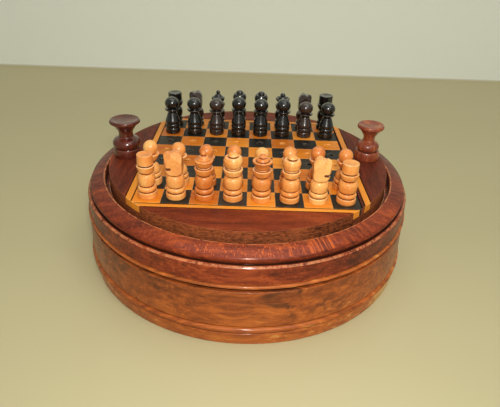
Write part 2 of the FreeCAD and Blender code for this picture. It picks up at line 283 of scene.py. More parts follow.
def inset(shape: list[Point], distance: float) -> list[Point]:
    """A convex outline, counter-clockwise, moved inwards by a distance.

    Args:
        shape: the outline.
        distance: how far its sides move.
    Returns:
        The smaller outline, with as many corners.
    """
    moved = []
    count = len(shape)
    for i, here in enumerate(shape):
        a = Vector(here) - Vector(shape[i - 1])
        b = Vector(shape[(i + 1) % count]) - Vector(here)
        na, nb = Vector((-a.y, a.x)).normalized(), Vector((-b.y, b.x)).normalized()
        bisector = (na + nb).normalized()
        moved.append(tuple(Vector(here) + bisector * distance / max(0.3, bisector.dot(na))))
    return moved


def slab(name: str, shape: list[Point], low: float, high: float, edge: float, tone: float) -> Piece:
    """Flat laminate on a convex outline with softened upper edges.

    Args:
        name: name of the piece.
        shape: outline in metres, counter-clockwise.
        low, high: heights of its two faces, in metres.
        edge: width of the softened edge, in metres.
        tone: how light this piece's own wood is, from 0 to 1.
    Returns:
        The finished object.
    """
    levels = [(0.0, low, 0.0, 1.0), (0.0, high - 4 * edge, 0.0, 1.0), (0.0, high - edge, 0.8, 1.0),
              (0.3 * edge, high - 0.3 * edge, 1.0, 0.5), (edge, high, 0.8, 0.0), (4 * edge, high, 0.0, 0.0)]
    verts, ridges, flanks, faces = [], [], [], []
    count = len(shape)
    for back, height, ridge, flank in levels:
        verts += [(px, py, height) for px, py in (inset(shape, back) if back else shape)]
        ridges += [ridge] * count
        flanks += [flank] * count
    for k in range(len(levels) - 1):
        for i in range(count):
            j = (i + 1) % count
            faces.append((k * count + i, k * count + j, (k + 1) * count + j, (k + 1) * count + i))
    faces.append(tuple(reversed(range(count))))
    faces.append(tuple(range((len(levels) - 1) * count, len(levels) * count)))
    piece = new_object(name, verts, faces, smooth=False)
    for face in piece.data.polygons[2 * count:4 * count]:
        face.use_smooth = True
    paint(piece, "flank", flanks)
    paint(piece, "ridge", ridges)
    paint(piece, "tone", [tone] * len(verts))
    return piece


def disc_cut(corners: list[Point], radius: float, sides: int = 720) -> list[Point]:
    """The part of a round disc that lies inside a convex outline given counter-clockwise.

    Args:
        corners: the outline.
        radius: radius of the disc.
        sides: corners of the disc.
    Returns:
        The outline of the cut.
    """
    angles = [math.tau * i / sides for i in range(sides)]
    shape = [(radius * math.cos(angle), radius * math.sin(angle)) for angle in angles]
    for a, b in zip(corners, corners[1:] + corners[:1]):
        side = [(b[0] - a[0]) * (p[1] - a[1]) - (b[1] - a[1]) * (p[0] - a[0]) for p in shape]
        kept = []
        for i, here in enumerate(shape):
            last, gone, now = shape[i - 1], side[i - 1], side[i]
            if (gone < 0) != (now < 0):
                share = gone / (gone - now)
                kept.append((last[0] + (here[0] - last[0]) * share, last[1] + (here[1] - last[1]) * share))
            if now >= 0:
                kept.append(here)
        shape = kept
    tidy = []
    for p in shape:
        if not tidy or math.dist(p, tidy[-1]) > 0.02 * MM:
            tidy.append(p)
    return tidy


def remade(piece: Piece) -> Piece:
    """The object with its modifiers worked into its mesh and removed.

    Args:
        piece: the object.
    Returns:
        The same object.
    """
    evaluated = piece.evaluated_get(bpy.context.evaluated_depsgraph_get())
    mesh = bpy.data.meshes.new_from_object(evaluated)
    piece.modifiers.clear()
    piece.data = mesh
    return piece


def discard(piece: Piece) -> None:
    """Removes a helper object."""
    bpy.data.objects.remove(piece, do_unlink=True)


# ---------------------------------------------------------------- finishes
class Grain(Enum):
    """Which way the fibres of a wooden part run."""
    ALONG_X = (1.0, 9.0, 9.0)
    ALONG_Y = (9.0, 1.0, 9.0)
    UPRIGHT = (9.0, 9.0, 1.0)


class Nodes:
    """A node tree, with short calls that make and join its nodes."""

    def __init__(self, tree: bpy.types.NodeTree) -> None:
        """Takes the tree."""
        self.tree = tree

    def node(self, kind: str, **settings: str | bool) -> bpy.types.Node:
        """A node of a kind with its properties set.

        Args:
            kind: kind of node.
            settings: its properties.
        Returns:
            The node.
        """
        made = self.tree.nodes.new(kind)
        for key, value in settings.items():
            setattr(made, key, value)
        return made

    def put(self, target: Socket, value: Feed) -> None:
        """Feeds a socket from another socket, or sets it to a number or colour.

        Args:
            target: the input.
            value: what it is given.
        """
        if isinstance(value, Socket):
            self.tree.links.new(value, target)
        elif isinstance(value, tuple) and len(value) == 3 and target.type == "RGBA":
            target.default_value = (*value, 1.0)
        else:
            target.default_value = value

    def fed(self, kind: str, inputs: dict[str | int, Feed], **settings: str | bool) -> bpy.types.Node:
        """A node of a kind with its inputs fed by name or number.

        Args:
            kind: kind of node.
            inputs: what each input is given.
            settings: its properties.
        Returns:
            The node.
        """
        made = self.node(kind, **settings)
        for key, value in inputs.items():
            self.put(made.inputs[key], value)
        return made

    def math(self, operation: str, a: Feed, b: Feed = 0.0, clamp: bool = False) -> Socket:
        """One sum on two numbers."""
        return self.fed("ShaderNodeMath", {0: a, 1: b}, operation=operation, use_clamp=clamp).outputs[0]

    def plus(self, a: Feed, b: Feed, clamp: bool = False) -> Socket:
        """Two numbers added."""
        return self.math("ADD", a, b, clamp)

    def times(self, a: Feed, b: Feed, clamp: bool = False) -> Socket:
        """Two numbers multiplied."""
        return self.math("MULTIPLY", a, b, clamp)

    def spread(self, value: Feed, width: Feed) -> Socket:
        """A number round one half, brought to round nought and multiplied by a width."""
        return self.times(self.math("SUBTRACT", value, 0.5), width)


class Graph(Nodes):
    """A material's node tree, with short calls for the nodes that a wood needs."""

    def __init__(self, name: str) -> None:
        """Starts an empty node material.

        Args:
            name: name of the material.
        """
        self.material = bpy.data.materials.new(name)
        self.material.use_nodes = True
        super().__init__(self.material.node_tree)
        self.tree.nodes.clear()

    def mix(self, share: Feed, a: Feed, b: Feed) -> Socket:
        """Blend of two colours."""
        return self.fed("ShaderNodeMix", {"Factor": share, 6: a, 7: b}, data_type="RGBA").outputs[2]

    def attribute(self, name: str) -> Socket:
        """A number painted on the mesh."""
        return self.node("ShaderNodeAttribute", attribute_name=name).outputs["Fac"]

    def window(self, value: Feed, low: float, high: float) -> Socket:
        """A number brought from between low and high to between 0 and 1, with soft ends."""
        return self.fed("ShaderNodeMapRange", {"Value": value, "From Min": low, "From Max": high},
                        interpolation_type="SMOOTHSTEP").outputs["Result"]

    def noise(self, vector: Feed, scale: float, detail: float = 4.0, rough: float = 0.55) -> Socket:
        """Cloudy noise on a set of coordinates."""
        return self.fed("ShaderNodeTexNoise", {"Vector": vector, "Scale": scale, "Detail": detail,
                                               "Roughness": rough}).outputs["Fac"]

    def spot(self) -> Socket:
        """The piece's own coordinates."""
        return self.node("ShaderNodeTexCoord").outputs["Object"]

    def split(self) -> list[Socket]:
        """The piece's own coordinates as three numbers."""
        return list(self.fed("ShaderNodeSeparateXYZ", {0: self.spot()}).outputs)

    def coordinates(self, stretch: tuple, turn: tuple = (0.0, 0.0, 0.0), sway: float = 0.0) -> Socket:
        """The piece's own coordinates turned and stretched, with the grain wandering by a sway in metres.

        Args:
            stretch: scale along each axis.
            turn: turn about each axis.
            sway: how far the grain wanders.
        Returns:
            The coordinates.
        """
        here = self.spot()
        if sway > 0:
            drift = self.fed("ShaderNodeTexNoise", {"Vector": here, "Scale": 26.0, "Detail": 2.0})
            centred = self.fed("ShaderNodeVectorMath", {0: drift.outputs["Color"], 1: (0.5, 0.5, 0.5)},
                               operation="SUBTRACT")
            sized = self.fed("ShaderNodeVectorMath", {0: centred.outputs[0], "Scale": sway * 2},
                             operation="SCALE")
            moved = self.fed("ShaderNodeVectorMath", {0: here, 1: sized.outputs[0]}, operation="ADD")
            here = moved.outputs[0]
        made = self.fed("ShaderNodeMapping", {"Vector": here, "Rotation": turn, "Scale": stretch})
        return made.outputs["Vector"]

    def round_axis(self, reach: float) -> Socket:
        """Coordinates that run round the upright axis, drawn out along the radius by a stretch.

        Args:
            reach: the stretch.
        Returns:
            The coordinates.
        """
        x, y, z = self.split()
        radius = self.math("SQRT", self.plus(self.times(x, x), self.times(y, y)))
        radius = self.math("MAXIMUM", radius, 0.001)
        parts = {i: self.times(self.math("DIVIDE", part, radius), 0.08) for i, part in enumerate((x, y))}
        parts[2] = self.times(self.plus(radius, z), reach)
        return self.fed("ShaderNodeCombineXYZ", parts).outputs[0]

    def ramp(self, value: Feed, stops: list[tuple[float, Colour]]) -> Socket:
        """Colour ramp through named stops.

        Args:
            value: a number from 0 to 1.
            stops: places and colours.
        Returns:
            The colour.
        """
        made = self.fed("ShaderNodeValToRGB", {"Fac": value})
        points = made.color_ramp.elements
        while len(points) < len(stops):
            points.new(0.5)
        for point, (place, colour) in zip(points, stops):
            point.position = place
            point.color = (*colour, 1.0)
        return made.outputs["Color"]

    def finish(self, inputs: dict[str | int, Feed]) -> bpy.types.Material:
        """Ends the tree in a shader with its inputs fed, and gives the material.

        Args:
            inputs: what each of the shader's inputs is given.
        Returns:
            The finished material.
        """
        shader = self.fed("ShaderNodeBsdfPrincipled", inputs)
        self.fed("ShaderNodeOutputMaterial", {"Surface": shader.outputs["BSDF"]})
        return self.material


@dataclass(frozen=True)
class Wood:
    """A finished wood: its colours, figure and polish."""
    name: str
    dark: Colour
    middle: Colour
    pale: Colour
    grain: Grain = Grain.ALONG_X
    cloud: float = 24.0           # clouds of colour per metre
    cloud_share: float = 0.4
    streak: float = 240.0         # streaks per metre, across the grain
    streak_share: float = 0.5
    fibre: float = 1100.0         # fibres per metre, across the grain
    fibre_share: float = 0.3
    sway: float = 0.006           # how far the grain wanders, in metres
    veins: float = 0.5            # strength of the dark veins
    vein: Colour = (0.02, 0.008, 0.004)
    pores: float = 0.4            # strength of the dark pores
    grit: float = 0.0             # fine light and dark speckle
    flecks: float = 0.0           # pale chatter marks
    lathe: float = 0.0            # strength of turning lines
    # Pale colour of convex edges: rubbed wear, and painted glints on edges marked for them.
    rub_and_glint: Colour = (0.5, 0.3, 0.15)
    rub_and_glint_share: float = 0.5             # pale rubbed edges
    # Colour that concave corners are darkened towards: painted shade in grooves, quirks and notches.
    recess_shade: Colour = (0.01, 0.005, 0.003)
    recess_shade_share: float = 0.9             # dark in the recesses
    flank: Colour | None = None   # colour of the sawn side, where it differs
    sap: Colour | None = None     # sapwood, past the palest colour
    flame: Colour | None = None   # curly figure that runs across the rim
    roughness: float = 0.4
    coat: float = 0.12
    gloss: float = 0.14           # roughness of the polish
    specular: float = 0.4
    bump: float = 0.25
    tilt: Triple = (0.05, 0.03, 0.08)
    tone_span: float = 0.35       # how far pieces differ from each other

    def _along(self, length: float) -> tuple[float, ...]:
        """Stretch that draws a pattern out along the grain."""
        return tuple(length if v == 1.0 else 1.0 for v in self.grain.value)

    def _grain(self, g: Graph, length: float, sway: float = 0.0) -> Socket:
        """Coordinates drawn out along the grain."""
        return g.coordinates(self._along(length), self.tilt, sway)

    def _figure(self, g: Graph, clouds: Socket) -> Socket:
        """Colour of the planed wood with its streaks, veins, speckle and pores.

        Args:
            g: the material's tree.
            clouds: broad noise.
        Returns:
            The colour.
        """
        streaks = g.noise(self._grain(g, 0.07, self.sway), self.streak, 6.0, 0.62)
        fibres = g.noise(self._grain(g, 0.04, self.sway * 0.3), self.fibre, 3.0, 0.6)
        shade = g.plus(g.spread(streaks, 2.2 * self.streak_share), 0.5)
        shade = g.plus(shade, g.spread(clouds, 2.2 * self.cloud_share))
        shade = g.plus(shade, g.spread(fibres, 2.0 * self.fibre_share))
        shade = g.plus(shade, g.spread(g.attribute("tone"), self.tone_span), clamp=True)
        stops = [(0.15, self.dark), (0.5, self.middle), (0.82, self.pale)]
        colour = g.ramp(shade, stops + ([(1.0, self.sap)] if self.sap else []))
        vein = g.noise(self._grain(g, 0.045, self.sway * 1.6), self.streak * 0.55, 4.0, 0.55)
        vein = g.times(g.window(vein, 0.57, 0.66), g.window(clouds, 0.42, 0.60))
        colour = g.mix(g.times(vein, self.veins, clamp=True), colour, self.vein)
        if self.grit > 0:
            grit = g.noise(g.coordinates((0.8, 0.8, 1.0)), 1000.0, 3.0, 0.65)
            colour = g.mix(g.times(g.window(grit, 0.56, 0.68), self.grit), colour, self.pale)
            colour = g.mix(g.times(g.window(grit, 0.46, 0.34), self.grit), colour, self.dark)
        pore = g.window(g.noise(self._grain(g, 0.12), 1500.0, 1.0, 0.5), 0.34, 0.26)
        return g.mix(g.times(pore, self.pores, clamp=True), colour, self.vein)

    def _colour(self, g: Graph, wear_noise: Socket) -> Socket:
        """The figured wood with its sawn side and curl, then its pale rubbed edges with painted glints on
        some, chatter, and painted shade in the recesses.

        Args:
            g: the material's tree.
            wear_noise: noise that breaks up the worn edges.
        Returns:
            The colour.
        """
        clouds = g.noise(self._grain(g, 0.45), self.cloud, 4.0, 0.6)
        colour = self._figure(g, clouds)
        if self.flank is not None:
            speck = g.noise(g.coordinates((0.35, 0.35, 1.0)), 1700.0, 3.0, 0.6)
            share = g.plus(g.window(speck, 0.60, 0.38), g.times(g.window(clouds, 0.5, 0.64), 0.5))
            sawn = g.mix(g.times(share, 0.62, clamp=True), self.flank, self.vein)
            colour = g.mix(g.attribute("flank"), colour, sawn)
        if self.flame is not None:
            curl = g.window(g.noise(g.round_axis(0.10), 700.0, 4.0, 0.7), 0.46, 0.64)
            colour = g.mix(g.times(curl, g.attribute("curl"), clamp=True), colour, self.flame)
        # Convex corners take the pale rub colour: wear, and a painted glint on the lid's band edge and on the
        # peg-hole chamfers.
        ridge = g.attribute("ridge")
        edge = g.times(g.window(ridge, 0.10, 0.75), g.window(wear_noise, 0.36, 0.58))
        colour = g.mix(g.times(edge, self.rub_and_glint_share, clamp=True), colour, self.rub_and_glint)
        if self.flecks > 0:
            marks = g.window(g.noise(g.round_axis(0.5), 1700.0, 2.0, 0.5), 0.58, 0.68)
            marks = g.times(g.times(marks, g.attribute("fleck")), self.flecks, clamp=True)
            colour = g.mix(marks, colour, self.flame)
        # Painted shade: concave corners are darkened towards the recess shade colour.
        recess = g.window(g.times(ridge, -1.0), 0.05, 0.55)
        return g.mix(g.times(recess, self.recess_shade_share, clamp=True), colour, self.recess_shade)

    def material(self) -> bpy.types.Material:
        """Builds the node material.

        Returns:
            The material.
        """
        g = Graph(self.name)
        wear_noise = g.noise(g.spot(), 520.0, 4.0, 0.65)
        broad = g.noise(g.spot(), 90.0, 3.0, 0.6)
        fine = g.noise(self._grain(g, 0.06), self.fibre, 3.0, 0.6)
        relief = g.plus(g.times(fine, 0.6), g.times(wear_noise, 0.7))
        if self.lathe > 0:
            rings = g.noise(g.coordinates((0.0, 0.0, 1.0)), 4800.0, 2.0, 0.6)
            relief = g.plus(relief, g.times(rings, self.lathe))
        bump = g.fed("ShaderNodeBump", {"Strength": self.bump, "Distance": 0.08 * MM, "Height": relief})
        return g.finish({"Base Color": self._colour(g, wear_noise),
                         "Roughness": g.plus(g.spread(broad, 0.35), self.roughness, clamp=True),
                         "Normal": bump.outputs["Normal"], "Specular IOR Level": self.specular,
                         "Coat Weight": self.coat, "Coat Roughness": self.gloss})


LID_WOOD = Wood("rosewood_lid", linear(70, 22, 10), linear(124, 48, 22), linear(168, 76, 33), cloud=45.0,
                cloud_share=0.5, streak=330.0, veins=0.45, vein=linear(50, 18, 11), grit=0.45, flecks=0.8,
                rub_and_glint=linear(208, 134, 88), rub_and_glint_share=0.8, flame=linear(214, 100, 34), roughness=0.48, coat=0.3,
                gloss=0.12, specular=0.15)
BOX_WOOD = Wood("sheesham_box", linear(84, 40, 17), linear(140, 68, 26), linear(184, 98, 37), cloud=16.0,
                cloud_share=0.3, streak=360.0, streak_share=0.6, fibre_share=0.25, veins=0.7,
                vein=linear(58, 30, 17), pores=0.35, grit=0.2, rub_and_glint=linear(186, 104, 50), rub_and_glint_share=0.3,
                sap=linear(214, 158, 84), roughness=0.48, coat=0.35, gloss=0.12, specular=0.2,
                tilt=(0.05, 0.07, 0.05), tone_span=0.7)
SEGMENT_X = Wood("rosewood_segment", linear(66, 22, 9), linear(112, 42, 17), linear(146, 64, 28),
                 cloud=40.0, veins=0.4, vein=linear(46, 18, 10), grit=0.35, rub_and_glint=linear(150, 84, 46),
                 rub_and_glint_share=0.4, roughness=0.55, coat=0.0, specular=0.22, flank=linear(148, 78, 42))
SEGMENT_Y = replace(SEGMENT_X, name="rosewood_segment_side", grain=Grain.ALONG_Y, middle=linear(96, 36, 17))
CORE_WOOD = replace(SEGMENT_X, name="rosewood_core", flank=linear(142, 76, 42))
STRIP_X = Wood("boxwood_strip", linear(196, 110, 28), linear(222, 138, 42), linear(238, 162, 66),
               cloud_share=0.2, streak_share=0.35, veins=0.1, vein=linear(150, 80, 24), pores=0.1,
               rub_and_glint=linear(244, 190, 110), rub_and_glint_share=0.4, bump=0.15, coat=0.0, specular=0.28)
STRIP_Y = replace(STRIP_X, name="boxwood_strip_side", grain=Grain.ALONG_Y)
LIGHT_TILE = replace(STRIP_X, name="boxwood_square", dark=linear(182, 92, 16), middle=linear(216, 124, 27),
                     pale=linear(236, 150, 48), tone_span=0.5, recess_shade=linear(90, 44, 14))
DARK_TILE = Wood("ebonised_square", linear(16, 14, 10), linear(30, 27, 20), linear(58, 48, 38),
                 cloud_share=0.3, streak_share=0.4, veins=0.0, pores=0.2, rub_and_glint=linear(120, 108, 92),
                 rub_and_glint_share=0.35, roughness=0.5, coat=0.05, specular=0.3, tone_span=0.5)
LIGHT_PIECE = Wood("turned_boxwood", linear(196, 106, 42), linear(224, 142, 68), linear(238, 180, 104),
                   grain=Grain.UPRIGHT, cloud=110.0, cloud_share=0.5, streak=900.0, streak_share=0.12,
                   grit=0.3, fibre=2600.0, fibre_share=0.08, sway=0.001, veins=0.0, pores=0.05, lathe=0.8,
                   vein=linear(150, 80, 34), rub_and_glint=linear(252, 212, 158), rub_and_glint_share=0.6, recess_shade=linear(98, 38, 14),
                   recess_shade_share=1.0, roughness=0.38, coat=0.3, gloss=0.2, bump=0.14, tone_span=0.6)
DARK_PIECE = Wood("ebonised_turning", linear(9, 9, 7), linear(18, 17, 13), linear(52, 37, 29),
                  grain=Grain.UPRIGHT, cloud=70.0, cloud_share=0.3, streak=900.0, streak_share=0.15,
                  fibre=2600.0, fibre_share=0.1, sway=0.001, veins=0.0, pores=0.1, lathe=1.0,
                  rub_and_glint=linear(90, 80, 68), rub_and_glint_share=0.25,
                  recess_shade=linear(6, 5, 4), roughness=0.26, coat=0.7, gloss=0.16, specular=0.5, bump=0.12,
                  tone_span=0.7)
LEFT_KNOB_WOOD = Wood("dark_rosewood_knob", linear(34, 12, 8), linear(76, 28, 18), linear(108, 46, 28),
                      grain=Grain.UPRIGHT, cloud=70.0, streak=420.0, fibre=1800.0, sway=0.002, veins=0.3,
                      lathe=0.5, rub_and_glint=linear(150, 84, 60), rub_and_glint_share=0.4, roughness=0.26, coat=0.5)
RIGHT_KNOB_WOOD = replace(LEFT_KNOB_WOOD, name="rosewood_knob", dark=linear(84, 32, 20),
                          middle=linear(128, 58, 36),
                          pale=linear(176, 96, 48), roughness=0.34, coat=0.3)


# ---------------------------------------------------------------- box and lid
@dataclass
class TurnedBox:
    """The bowl that stores the pieces, sized from its CAD solid."""
    foot: float = 6.9
    bead: float = 3.3
    wall: float = 18.8
    cove: float = 1.7
    thickness: float = 7.4
    floor: float = 6.0
    bead_proud: float = 0.9
    edge: float = 0.5
    sapwood: tuple[Mark, ...] = ((-33.0, 8.0, 1.0), (150.0, 14.0, 0.7))

    def wall_ends(self) -> tuple[float, float]:
        """Heights of the lower and upper end of the plain wall."""
        return self.foot + self.bead, self.foot + self.bead + self.wall

    def outline(self) -> Outline:
        """Half section, from the middle of the foot round to the middle of the floor.

        Returns:
            The outline in millimetres.
        """
        low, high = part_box("box_body")
        top = (high.z - low.z) / MM
        face = (high.x - low.x) / 2 / MM - self.bead_proud - self.edge
        wall_low, wall_high = self.wall_ends()
        bore = face - self.thickness
        return Outline((
            (0, 0), (face - 0.8, 0), (face, 0.8, 0.24), (face + 0.45, self.foot - 0.75, 0.1),
            (face + 0.25, self.foot - 0.3, 0.06), (face - 0.9, self.foot - 0.2),
            (face - 0.9, self.foot + 0.2), (face - 0.1, self.foot + 0.35),
            (face + 0.1, wall_low - 0.3, 1.2), (face - 0.8, wall_low - 0.1),
            (face - 0.8, wall_low + 0.25), (face + 0.2, wall_low + 0.45),
            (face + 0.3, wall_low + 3.0), (face - 0.1, wall_high - 0.4), (face - 0.5, wall_high, 0.12),
            (face - 2.0, wall_high + 0.1), (face - 1.9, wall_high + 0.9, -0.1),
            (face - 0.7, wall_high + self.cove, -0.3),
            (face - 0.5, top - 0.05, 0.85), (face - 1.2, top),
            (bore + 0.4, top), (bore, top - 0.4, 0.1), (bore, self.floor + 1.5),
            (bore - 1.5, self.floor, -0.44), (0, self.floor),
        ), soften=0.16, fade=0.6, step=0.4)

    def tone(self, spot: Vector) -> float:
        """How light the wood is: pale foot and lip, and a wall that darkens upwards.

        Args:
            spot: a place on the surface, in metres.
        Returns:
            The tone, from 0 to 1 and more in sapwood.
        """
        height = spot.z / MM
        wall_low, wall_high = self.wall_ends()
        if height < self.foot - 0.1:
            return 0.85 + 0.9 * arc_weight(spot, self.sapwood)
        if height > wall_high + 0.8:
            return 0.66
        return 0.72 - 0.4 * min(1.0, max(0.0, (height - wall_low) / (wall_high - wall_low))) ** 1.5

    def build(self) -> None:
        """Makes the bowl."""
        low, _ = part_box("box_body")
        bowl = lathe("turned_bowl", self.outline(), 0.0, 0.0, low.z, BOWL_SIDES)
        paint(bowl, "tone", [self.tone(v.co) for v in bowl.data.vertices])
        dress(bowl, BOX_WOOD, "box_wood", "box", "box_body")


@dataclass
class TurnedLid:
    """The lid that carries the board."""
    spigot: float = 4.0
    spigot_wall: float = 3.6
    spigot_gap: float = 0.3
    band: float = 9.1
    cove: float = 2.6
    fall: float = 2.8
    rim: float = 9.1
    quirk: float = 2.7
    web: float = 4.8
    groove: float = 4.7
    board_gap: float = 0.3
    chatter: tuple[Mark, ...] = ((-98.0, 9.0, 1.0), (-84.0, 7.0, 0.7), (-76.0, 6.0, 0.5), (-122.0, 12.0, 0.3),
                                 (70.0, 16.0, 0.5))
    flames: tuple[Mark, ...] = ((-66.0, 6.0, 0.75), (-50.0, 8.0, 0.3), (-76.0, 5.0, 0.2), (-114.0, 6.0, 0.22),
                                (125.0, 14.0, 0.4))

    def outline(self) -> Outline:
        """Half section, heights counted from the joint with the box.

        Returns:
            The outline in millimetres.
        """
        low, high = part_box("lid")
        widest = (high.x - low.x) / 2 / MM
        bore = (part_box("box_body")[1].x / MM) - TurnedBox.bead_proud - TurnedBox.edge - TurnedBox.thickness
        spigot = bore - self.spigot_gap
        rim_top = self.band + self.cove + self.fall
        recess = widest - self.rim
        board_low = (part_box("board_core")[0].z - low.z) / MM - self.spigot
        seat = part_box("board_core")[1].x / MM + self.board_gap
        return Outline((
            (0, board_low - self.web), (spigot - self.spigot_wall, board_low - self.web),
            (spigot - self.spigot_wall, -self.spigot), (spigot - 0.5, -self.spigot),
            (spigot, 0.5 - self.spigot), (spigot, 0),
            (widest - 0.6, 0), (widest - 0.05, 0.5, 0.12), (widest - 0.2, self.band - 1.5),
            (widest - 0.6, self.band - 0.45, 0.18), (widest - 1.1, self.band - 0.02, 0.1),
            (widest - self.quirk, self.band - 0.1), (widest - self.quirk + 0.35, self.band + 0.45),
            (widest - 1.8, self.band + self.cove - 0.9), (widest - 2.75, self.band + self.cove + 0.75, 0.35),
            (recess + 0.4, rim_top - 0.03, 0.3), (recess, rim_top - 0.4),
            (recess, rim_top - self.groove), (seat, rim_top - self.groove), (seat, board_low), (0, board_low),
        ), soften=0.14, fade=0.55, step=0.4)

    def build(self) -> None:
        """Makes the lid."""
        low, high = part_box("lid")
        joint = low.z + self.spigot * MM
        lid = lathe("turned_lid", self.outline(), 0.0, 0.0, joint, BOWL_SIDES)
        ledge, widest = joint + self.band * MM, (high.x - low.x) / 2
        recess, top = widest - self.rim * MM, ledge + (self.cove + self.fall) * MM
        corners = lid.data.vertices
        # Painted shade: the lid's tone is darker towards its left and right sides than at its front and back.
        paint(lid, "tone", [0.5 - 0.45 * abs(math.cos(math.atan2(v.co.y, v.co.x))) ** 1.5 for v in corners])
        for v, mark in zip(corners, lid.data.attributes["ridge"].data):
            out, up = v.co.xy.length, v.co.z
            # Painted shade: the quirk under the rim is marked as a full recess, so it is drawn nearly black.
            if abs(up - ledge) < 0.3 * MM and out < widest - 1.6 * MM:
                mark.value = -1.0
            # Painted highlight: the band's top edge is marked as a ridge, so it takes the pale rub colour.
            elif abs(up - ledge + 0.4 * MM) < 0.45 * MM and out > widest - 1.3 * MM:
                mark.value = 0.55
            # Painted shade: the band's lower edge at the joint with the box is darkened.
            elif abs(up - joint) < 0.2 * MM and out > widest - 1.0 * MM:
                mark.value = -0.6
            elif up > top - 0.5 * MM and recess - 0.2 * MM < out < recess + 0.7 * MM:
                mark.value = 1.0
        crown = ledge + (self.cove + 0.4) * MM
        for name, marks in (("fleck", self.chatter), ("curl", self.flames)):
            paint(lid, name, [(v.co.z > crown) * arc_weight(v.co, marks) for v in corners])
        dress(lid, LID_WOOD, "lid_wood", "lid", "lid")


# ---------------------------------------------------------------- dressing
_made: dict[str, bpy.types.Material] = {}


def finish_of(wood: Wood) -> bpy.types.Material:
    """The material of a wood, made once.

    Args:
        wood: the finish.
    Returns:
        Its material.
    """
    if wood.name not in _made:
        _made[wood.name] = wood.material()
    return _made[wood.name]


def dress(piece: Piece, wood: Wood, slot: str, body: str, *nodes: str) -> None:
    """Gives a piece its finish and its body, and hides the CAD nodes that it takes the place of.

    Args:
        piece: the finished piece.
        wood: its finish.
        slot: not used.
        body: the body that it moves with.
        nodes: the CAD nodes that it takes the place of.
    """
    piece.data.materials.clear()
    piece.data.materials.append(finish_of(wood))
    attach(piece, body)
    if nodes:
        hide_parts(*nodes)
    log.info("%s rides on %s", piece.name, body)


